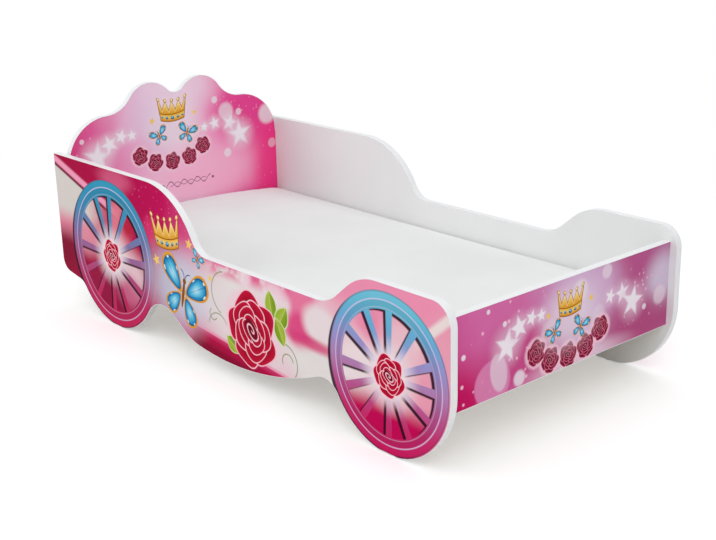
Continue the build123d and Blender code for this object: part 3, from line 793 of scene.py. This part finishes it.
def sideHeadEnd(canvas):
    x, z = canvas.x, canvas.z
    canvas.shade = ramp(canvas.tree, x + (canvas.noise(0.012) - 0.5) * 60, sidePrint["ground"])
    # head end: a pale wedge under a slanting ribbon
    drawGlow(canvas, -742, 190, 110, 90, tint(126, 0, 44), 0.8)
    lean = math.radians(sidePrint["ribbonSlant"])
    slant = canvas.along(canvas.flat, math.sin(lean), math.cos(lean))
    under = slant.below(148, 6)
    canvas.lay(under * z.above(215, 70) * x.below(-520, 190), tint(226, 132, 156))
    canvas.lay(under * z.above(262, 60) * x.below(-545, 130), tint(219, 211, 206))
    canvas.lay(slant.within(146, 155, 7) * x.below(-440, 80), tint(112, 12, 44))
    canvas.lay(slant.within(155, 173, 10) * x.below(-440, 90), tint(246, 160, 190))
    drawPatches(canvas, sidePrint["headPatches"])
    sprinkled = x.within(-430, -120, 80) * z.above(190, 80) * 0.5
    drawSparkle(canvas, 16, 2.6, 0.3, sprinkled, tint(238, 108, 160))


def sideMiddle(canvas):
    x, z = canvas.x, canvas.z
    # the pale middle, with a mottled pink edge above
    drawGlow(canvas, 60, 190, 200, 100, tint(233, 227, 226), 0.9)
    mottled = canvas.noise(0.02, 3.0).above(0.4, 0.16)
    canvas.lay(z.above(258, 34) * x.within(-60, 345, 60) * mottled, tint(232, 104, 152))
    drawPatches(canvas, sidePrint["railPatches"])
    # the pink swirl before the foot wheel
    canvas.lay(x.within(262, 334, 26) * z.above(185, 40), tint(234, 122, 160))
    drawPatches(canvas, sidePrint["swirlPatches"])


def sideFootEnd(canvas):
    x, z = canvas.x, canvas.z
    canvas.lay(z.above(292, 60) * x.above(392, 50), tint(240, 146, 178))
    way = math.radians(sidePrint["footSlant"])
    lean = canvas.along(canvas.flat, -math.sin(way), math.cos(way))
    drawGlow(canvas, 722, 240, 46, 90, tint(236, 160, 182), 0.9)
    canvas.lay(lean.within(-226, -206, 12) * x.above(640, 40), tint(238, 222, 220))
    drawPatches(canvas, sidePrint["footPatches"])
    wheel = wheels["foot"]
    canvas.lay(z.below(112, 66) * canvas.oval(wheel["x"], wheel["z"], 165, 165), tint(196, 0, 84))


def sideBloom(canvas):
    x, z = canvas.x, canvas.z
    for curl in sidePrint["curls"]:
        drawArc(canvas, *curl, sidePrint["curlWidth"], sidePrint["curlColour"], 0.9)
    drawPatches(canvas, [sidePrint["roseGlow"]])
    # a crimson keel along the belly
    keel = z + x * 0.1
    along = x.within(-120, 330, 60)
    for edge, blur, strength, shade in sidePrint["keel"]:
        canvas.lay(keel.below(edge, blur) * along * strength, shade)
    for leaf in sidePrint["leaves"]:
        drawLeaf(canvas, *leaf)
    drawRose(canvas, *sidePrint["rose"])


def drawSide(canvas):
    canvas.stage("sideHeadEnd", sideHeadEnd)
    canvas.stage("sideMiddle", sideMiddle)
    canvas.stage("sideFootEnd", sideFootEnd)
    for wheel in wheels.values():
        canvas.stage(wheel["name"], lambda inside: drawWheel(inside, wheel))
    canvas.stage("sideBloom", sideBloom)
    canvas.stage("sideCrest", lambda inside: drawCrest(inside, sidePrint))


# Headboard and footboard prints

headPrint = {
    "ground": [
        (-350, tint(216, 58, 126)), (-260, tint(230, 98, 158)), (-150, tint(240, 172, 206)),
        (-80, tint(240, 200, 224)), (40, tint(248, 208, 228)), (120, tint(246, 156, 198)),
        (200, tint(240, 98, 164)), (350, tint(238, 58, 136)),
    ],
    "patches": [
        (-110, 470, 70, 120, tint(236, 204, 232), 0.6),
        (20, 560, 110, 70, tint(244, 216, 234), 0.8),
        (90, 300, 190, 80, tint(250, 182, 212), 0.9),
        (-200, 380, 110, 60, tint(240, 148, 192), 0.6),
        (250, 470, 110, 60, tint(234, 70, 146), 0.85),
        (332, 280, 62, 130, tint(246, 60, 138), 0.85),
    ],
    # stars: middle, size, turn
    "stars": [
        (-262, 402, 40, 12), (-222, 432, 26, 40), (-184, 448, 20, 0), (-150, 446, 15, 20),
        (92, 434, 14, 10), (128, 440, 19, 30), (182, 434, 26, 0), (216, 396, 38, 22),
    ],
    "starBlur": 0.35,
    "starHalo": (tint(238, 208, 224), 0.7),
    # discs of light: middle, size, strength
    "discs": [
        (170, 470, 25, 0.7), (170, 346, 13, 0.9), (132, 508, 10, 0.9), (216, 462, 10, 0.8),
        (320, 442, 30, 0.8), (-60, 440, 14, 0.4), (60, 430, 16, 0.5), (-306, 452, 7, 0.8),
        (335, 350, 14, 0.5),
    ],
    "discColour": tint(240, 222, 232),
    "scroll": {"z": 284, "period": 46, "colour": tint(150, 84, 120)},
    "medallionSize": 27,
    "medallions": [(-128, 383), (-80, 358), (-23, 353), (35, 358), (83, 383)],
    "crestGlow": (-15, 460, 84, 66, tint(238, 226, 236), 0.6),
    "crown": (-14, 496, 96, 0),
    "butterflies": [(-62, 432, 62, 22), (32, 428, 70, -20)],
    "goldStars": [(-82, 476, 11, 0), (60, 482, 9, 20)],
}
footPrint = {
    "ground": [
        (-350, tint(212, 82, 150)), (-250, tint(216, 108, 168)), (-120, tint(214, 110, 168)),
        (-40, tint(210, 140, 186)), (60, tint(214, 172, 208)), (130, tint(208, 150, 192)),
        (210, tint(188, 84, 138)), (350, tint(184, 96, 148)),
    ],
    "patches": [
        (-340, 130, 110, 90, tint(198, 8, 92), 0.95),
        (-150, 200, 110, 70, tint(198, 58, 124), 0.7),
        (60, 270, 110, 80, tint(222, 190, 222), 0.7),
        (170, 180, 60, 60, tint(184, 66, 124), 0.6),
        (330, 250, 60, 60, tint(216, 204, 226), 0.9),
        (262, 170, 120, 50, tint(178, 74, 124), 0.7),
        (40, 140, 140, 24, tint(236, 210, 224), 0.7),
    ],
    "nearPatches": [
        (-232, 164, 52, 50, tint(224, 134, 182), 0.9, 0, 0.12),
        (-214, 182, 24, 42, tint(230, 196, 216), 0.9, 12, 0.25),
    ],
    "stars": [
        (-190, 232, 36, 8), (-155, 262, 26, 30), (-118, 272, 18, 0), (-88, 270, 15, 20),
        (138, 254, 18, 0), (180, 252, 24, 26), (218, 224, 36, 6),
    ],
    "starBlur": 0.2,
    "starHalo": (tint(232, 196, 220), 0.6),
    "discs": [
        (-152, 152, 17, 0.9), (36, 292, 24, 0.8), (124, 314, 16, 0.7), (100, 226, 20, 0.4),
        (318, 214, 22, 0.6), (-60, 226, 26, 0.4), (262, 200, 7, 0.9), (-246, 317, 5, 1.0),
        (-198, 280, 6, 1.0), (-315, 242, 6, 1.0),
    ],
    "discColour": tint(238, 222, 234),
    "medallionSize": 30,
    "medallions": [(-102, 192), (-57, 164), (1, 159), (58, 164), (106, 191)],
    "crestGlow": (2, 246, 84, 60, tint(240, 228, 240), 0.6),
    "crown": (4, 272, 84, 0),
    "butterflies": [(-46, 222, 56, 24), (40, 214, 60, -22)],
    "goldStars": [(-66, 262, 9, 0), (72, 268, 10, 20)],
}
starWhite = tint(248, 240, 248)


def drawStars(canvas, row):
    for x, z, size, turn in row["stars"]:
        drawGlow(canvas, x, z, size * 1.1, size * 1.1, *row["starHalo"])
        drawStar(canvas, x, z, size, turn, starWhite, row["starBlur"], 0.95)
    for x, z, size, strength in row["discs"]:
        drawGlow(canvas, x, z, size, size, row["discColour"], strength, 0, 0.5)


def drawMedallions(canvas, row):
    size = row["medallionSize"]
    for x, z in row["medallions"]:
        drawGlow(canvas, x, z, size * 1.14, size * 1.14, tint(246, 204, 222), 0.85, 0, 0.3)
    for number, (x, z) in enumerate(row["medallions"]):
        drawRose(canvas, x, z, size, "wine", 1.1, 24 * number)
    drawCrest(canvas, row)


def headGround(canvas):
    y, z = canvas.x, canvas.z
    wave = y + (z - 400) * 0.16 + (canvas.noise(0.01) - 0.5) * 40
    canvas.shade = ramp(canvas.tree, wave, headPrint["ground"])
    drawPatches(canvas, headPrint["patches"])
    drawSparkle(canvas, 13, 3.0, 0.4, y.above(120, 60) * z.above(410, 60) * 0.8, tint(246, 150, 190))
    drawSparkle(canvas, 22, 3.4, 0.3, y.above(250, 60) * 0.55, tint(246, 130, 176))
    drawSparkle(canvas, 20, 3.4, 0.3, y.below(-250, 60) * 0.7, tint(246, 160, 196))


def headStars(canvas):
    y, z = canvas.x, canvas.z
    drawStars(canvas, headPrint)
    # a scroll of two crossing waves under the medallions
    height, period, ink = (headPrint["scroll"][key] for key in ("z", "period", "colour"))
    wave = (y * (math.tau / period)).calc("SINE")
    canvas.lay(abs(z - height - wave * 9).below(1.5, 1.6) * y.within(-52, 104, 8), ink)
    canvas.lay(abs(z - height + wave * 5).below(0.9, 1.4) * y.within(-36, 88, 8), ink)
    for end in (-60, 112):
        drawGlow(canvas, end, height, 4, 4, ink, 1.0, 0, 0.4)


def drawHead(canvas):
    canvas.stage("headGround", headGround)
    canvas.stage("headStars", headStars)
    canvas.stage("headCrest", lambda inside: drawMedallions(inside, headPrint))


def footGround(canvas):
    y, z = canvas.x, canvas.z
    wave = y + (z - 230) * 0.3 + (canvas.noise(0.012) - 0.5) * 50
    canvas.shade = ramp(canvas.tree, wave, footPrint["ground"])
    drawPatches(canvas, footPrint["patches"])
    drawSparkle(canvas, 15, 3.4, 0.34, y.above(185, 50) * z.within(180, 290, 50), tint(240, 176, 206))
    drawSparkle(canvas, 26, 4.2, 0.28, y.below(-90, 60), tint(246, 190, 214))
    drawPatches(canvas, footPrint["nearPatches"])


def drawFoot(canvas):
    canvas.stage("footGround", footGround)
    canvas.stage("footStars", lambda inside: drawStars(inside, footPrint))
    canvas.stage("footCrest", lambda inside: drawMedallions(inside, footPrint))


foil = {"specular": 0.02, "roughness": (0.34, 0.48), "peelScale": 420, "peelDepth": 0.4 * mm}


def printedFoil(name, across, draw):
    made, tree, shader = newMaterial(name, 0.4, Specular_IOR_Level=foil["specular"])
    place = node(tree, "ShaderNodeTexCoord").outputs["Object"]
    up = (0, 0, 1000)
    ends = [
        node(tree, "ShaderNodeVectorMath", {0: place, 1: way}, operation="DOT_PRODUCT").outputs["Value"]
        for way in (across, up)
    ]
    flat = node(tree, "ShaderNodeCombineXYZ", {"X": ends[0], "Y": ends[1], "Z": 1.0})
    axes = Matrix((Vector(across) / 1000, (0, 0, 1), Vector(across).cross((0, 0, 1)) / 1000)).to_euler()
    canvas = Canvas(tree, flat.outputs[0], (1, 1, 1, 1), axes)
    draw(canvas)
    tree.links.new(canvas.shade, shader.inputs["Base Color"])
    peel = grain(tree, objectPlace(tree), foil["peelScale"], 2)
    spreadRoughness(tree, shader, grain(tree, objectPlace(tree), 24, 3), *foil["roughness"])
    bump(tree, shader, peel, 0.06, foil["peelDepth"])
    return made


dress(printedFoil("sideFoil", (1000, 0, 0), drawSide), "right_side_print", "left_side_print")
dress(printedFoil("headFoil", (0, 1000, 0), drawHead), "headboard_print")
dress(printedFoil("footFoil", (0, 1000, 0), drawFoot), "footboard_print")
print("prints ready")


# Boards and banding

laminate = {
    "shades": [(0.3, tint(232, 233, 233)), (0.7, tint(238, 239, 239))],
    "roughness": (0.38, 0.52),
    "pebbleScale": 900,
    "pebbleDepth": 0.3 * mm,
}
banding = {
    "shades": [(0.3, tint(234, 236, 238)), (0.7, tint(241, 243, 245))],
    "roughness": (0.28, 0.44),
    "streaks": (6, 260, 6),
    "streakDepth": 0.3 * mm,
}


def whiteLaminate():
    made, tree, shader = newMaterial("whiteLaminate", 0.45)
    place = objectPlace(tree)
    cloud = grain(tree, place, 3.2, 4)
    tree.links.new(ramp(tree, cloud, laminate["shades"]), shader.inputs["Base Color"])
    spreadRoughness(tree, shader, grain(tree, place, 40, 3), *laminate["roughness"])
    bump(tree, shader, grain(tree, place, laminate["pebbleScale"], 2), 0.12, laminate["pebbleDepth"])
    return made


def whiteBanding():
    made, tree, shader = newMaterial("whiteBanding", 0.35)
    place = objectPlace(tree)
    streaks = grain(tree, objectPlace(tree, banding["streaks"]), 3, 3)
    tree.links.new(ramp(tree, streaks, banding["shades"]), shader.inputs["Base Color"])
    spreadRoughness(tree, shader, grain(tree, place, 60, 3), *banding["roughness"])
    bump(tree, shader, streaks, 0.05, banding["streakDepth"])
    return made


dress(whiteLaminate(), "right_side_panel", "left_side_panel", "headboard", "footboard")
dress(
    whiteBanding(), "right_edge_band", "left_edge_band", "headboard_edge_band", "footboard_edge_band"
)
print("boards ready")


# Wood, webbing, foam and metal

woods = {
    "slatPine": {"along": "Y", "pale": tint(238, 218, 182), "dark": tint(214, 180, 128)},
    "battenPine": {"along": "X", "pale": tint(232, 208, 170), "dark": tint(204, 168, 116)},
    "beech": {"along": "X", "pale": tint(226, 196, 154), "dark": tint(200, 160, 116)},
}


def planedWood(name):
    # the grain is noise drawn out along the piece
    wood = woods[name]
    made, tree, shader = newMaterial(name, 0.6)
    stretch = [2.0 if axis == wood["along"] else 46.0 for axis in "XYZ"]
    fibre = [6.0 if axis == wood["along"] else 420.0 for axis in "XYZ"]
    bands = grain(tree, objectPlace(tree, stretch), 1.0, 4, 0.6)
    fine = grain(tree, objectPlace(tree, fibre), 1.0, 3)
    mixed = bands * 0.75 + fine * 0.25
    shade = ramp(tree, mixed, [(0.34, wood["dark"]), (0.5, wood["pale"]), (0.68, wood["pale"])])
    tree.links.new(shade, shader.inputs["Base Color"])
    spreadRoughness(tree, shader, fine, 0.5, 0.72)
    bump(tree, shader, mixed, 0.25, 0.4 * mm)
    return made


slats = [name for name in nodes if name.startswith("slat_") and name[5:].isdigit()]
dress(planedWood("slatPine"), *slats)
dress(planedWood("battenPine"), "right_batten", "left_batten")
dress(planedWood("beech"), "dowels")


tape = {
    "shades": [(0.0, tint(206, 203, 192)), (1.0, tint(236, 234, 226))],
    "roughness": (0.95, 0.8),
    "threads": (190.0, 240.0, 0.6),
}


def wovenTape():
    made, tree, shader = newMaterial("wovenTape", 0.85)
    threads = weave(tree, objectPlace(tree), *tape["threads"])
    tree.links.new(ramp(tree, threads, tape["shades"]), shader.inputs["Base Color"])
    spreadRoughness(tree, shader, threads, *tape["roughness"])
    bump(tree, shader, threads, 0.5, 0.5 * mm)
    return made


dress(wovenTape(), "right_slat_strap", "left_slat_strap")


foam = {"shades": [(0.3, tint(226, 218, 186)), (0.7, tint(248, 243, 220))], "cellScale": 520}


def openFoam():
    made, tree, shader = newMaterial("openFoam", 0.95)
    cells = grain(tree, objectPlace(tree), foam["cellScale"], 4, 0.7)
    tree.links.new(ramp(tree, cells, foam["shades"]), shader.inputs["Base Color"])
    spreadRoughness(tree, shader, cells, 0.9, 1.0)
    bump(tree, shader, cells, 0.6, 1.0 * mm)
    return made


dress(openFoam(), "mattress_core")


metals = {
    "zincPlate": {"low": tint(190, 192, 196), "high": tint(214, 216, 218), "roughness": 0.34},
    "yellowSteel": {"low": tint(204, 180, 118), "high": tint(226, 206, 150), "roughness": 0.32},
}


def platedMetal(name):
    metal = metals[name]
    rough = metal["roughness"]
    made, tree, shader = newMaterial(name, rough, Metallic=1.0)
    place = objectPlace(tree)
    shade = ramp(tree, grain(tree, place, 90, 4), [(0.3, metal["low"]), (0.7, metal["high"])])
    tree.links.new(shade, shader.inputs["Base Color"])
    spreadRoughness(tree, shader, grain(tree, place, 300, 3), rough - 0.1, rough + 0.12)
    bump(tree, shader, grain(tree, place, 1400, 2), 0.08, 0.2 * mm)
    return made


dress(platedMetal("zincPlate"), "strap_staples", "cam_bolts", "cam_discs", "glide_nails")
dress(platedMetal("yellowSteel"), "batten_screws", "slat_screws")


glide = {"shades": [(0.3, tint(232, 232, 229)), (0.7, tint(241, 241, 239))], "roughness": (0.42, 0.6)}


def glidePlastic():
    made, tree, shader = newMaterial("glidePlastic", 0.5)
    place = objectPlace(tree)
    tree.links.new(ramp(tree, grain(tree, place, 60, 3), glide["shades"]), shader.inputs["Base Color"])
    spreadRoughness(tree, shader, grain(tree, place, 260, 3), *glide["roughness"])
    bump(tree, shader, grain(tree, place, 1600, 2), 0.12, 0.2 * mm)
    return made


dress(glidePlastic(), "floor_glides")
print("small parts ready")


# Mattress: the cover swells over its foam between the boards

mattress = {
    "voxel": 7 * mm,
    "pressure": 4.0,
    "frames": 20,
    "cap": 6 * mm,
    "shades": [(0.3, tint(231, 233, 232)), (0.62, tint(237, 239, 238))],
    "roughness": (0.95, 0.82),
    "threads": (150.0, 150.0, 1.2),
    "weaveShare": 0.2,
    "weaveDepth": 0.8 * mm,
}


def mattressFabric():
    made, tree, shader = newMaterial("mattressFabric", 0.9, Sheen_Weight=0.15, Sheen_Roughness=0.5)
    place = objectPlace(tree)
    threads = weave(tree, place, *mattress["threads"])
    cloud = grain(tree, place, 4, 4)
    mixed = cloud * (1 - mattress["weaveShare"]) + threads * mattress["weaveShare"]
    tree.links.new(ramp(tree, mixed, mattress["shades"]), shader.inputs["Base Color"])
    spreadRoughness(tree, shader, threads, *mattress["roughness"])
    bump(tree, shader, mixed, 0.35, mattress["weaveDepth"])
    return made


def outerSkin(mesh):
    # the cover is hollow, so only its outer faces are kept: those joined to its lowest point
    shape = bmesh.new()
    shape.from_mesh(mesh)
    bmesh.ops.remove_doubles(shape, verts=shape.verts, dist=0.01 * mm)
    edge = [min(shape.verts, key=lambda point: point.co.z)]
    kept = set(edge)
    while edge:
        edge = [far for point in edge for link in point.link_edges for far in link.verts if far not in kept]
        kept.update(edge)
    bmesh.ops.delete(shape, geom=[point for point in shape.verts if point not in kept], context="VERTS")
    shape.to_mesh(mesh)
    shape.free()


def makeMattress():
    mesh = nodes["mattress_cover"].data.copy()
    mesh.name = "mattress"
    outerSkin(mesh)
    piece = bpy.data.objects.new("mattress", mesh)
    bpy.context.scene.collection.objects.link(piece)
    low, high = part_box("mattress_cover")
    bpy.ops.object.select_all(action="DESELECT")
    piece.select_set(True)
    bpy.context.view_layer.objects.active = piece
    remesh = piece.modifiers.new("evenMesh", "REMESH")
    remesh.mode = "VOXEL"
    remesh.voxel_size = mattress["voxel"]
    bpy.ops.object.modifier_apply(modifier=remesh.name)
    start = [(point.co.copy(), point.normal.copy()) for point in piece.data.vertices]
    cloth = piece.modifiers.new("swell", "CLOTH")
    cloth.settings.quality = 4
    cloth.settings.use_pressure = True
    cloth.settings.uniform_pressure_force = mattress["pressure"]
    cloth.settings.effector_weights.gravity = 0
    for frameNumber in range(1, mattress["frames"] + 1):
        bpy.context.scene.frame_set(frameNumber)
    bpy.ops.object.modifier_apply(modifier=cloth.name)
    bpy.context.scene.frame_set(1)
    # the foam holds the cover out and the boards and slats hold it in
    for point, (first, normal) in zip(piece.data.vertices, start):
        move = point.co - first
        move -= normal * min(move.dot(normal), 0)
        if move.length > mattress["cap"]:
            move *= mattress["cap"] / move.length
        place = first + move
        roof = high.z + mattress["cap"]
        point.co = [min(max(place[axis], low[axis]), (high.x, high.y, roof)[axis]) for axis in range(3)]
    for face in piece.data.polygons:
        face.use_smooth = True
    piece.data.materials.clear()
    piece.data.materials.append(mattressFabric())
    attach(piece, "root")
    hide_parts("mattress_cover")


makeMattress()
print("mattress ready")
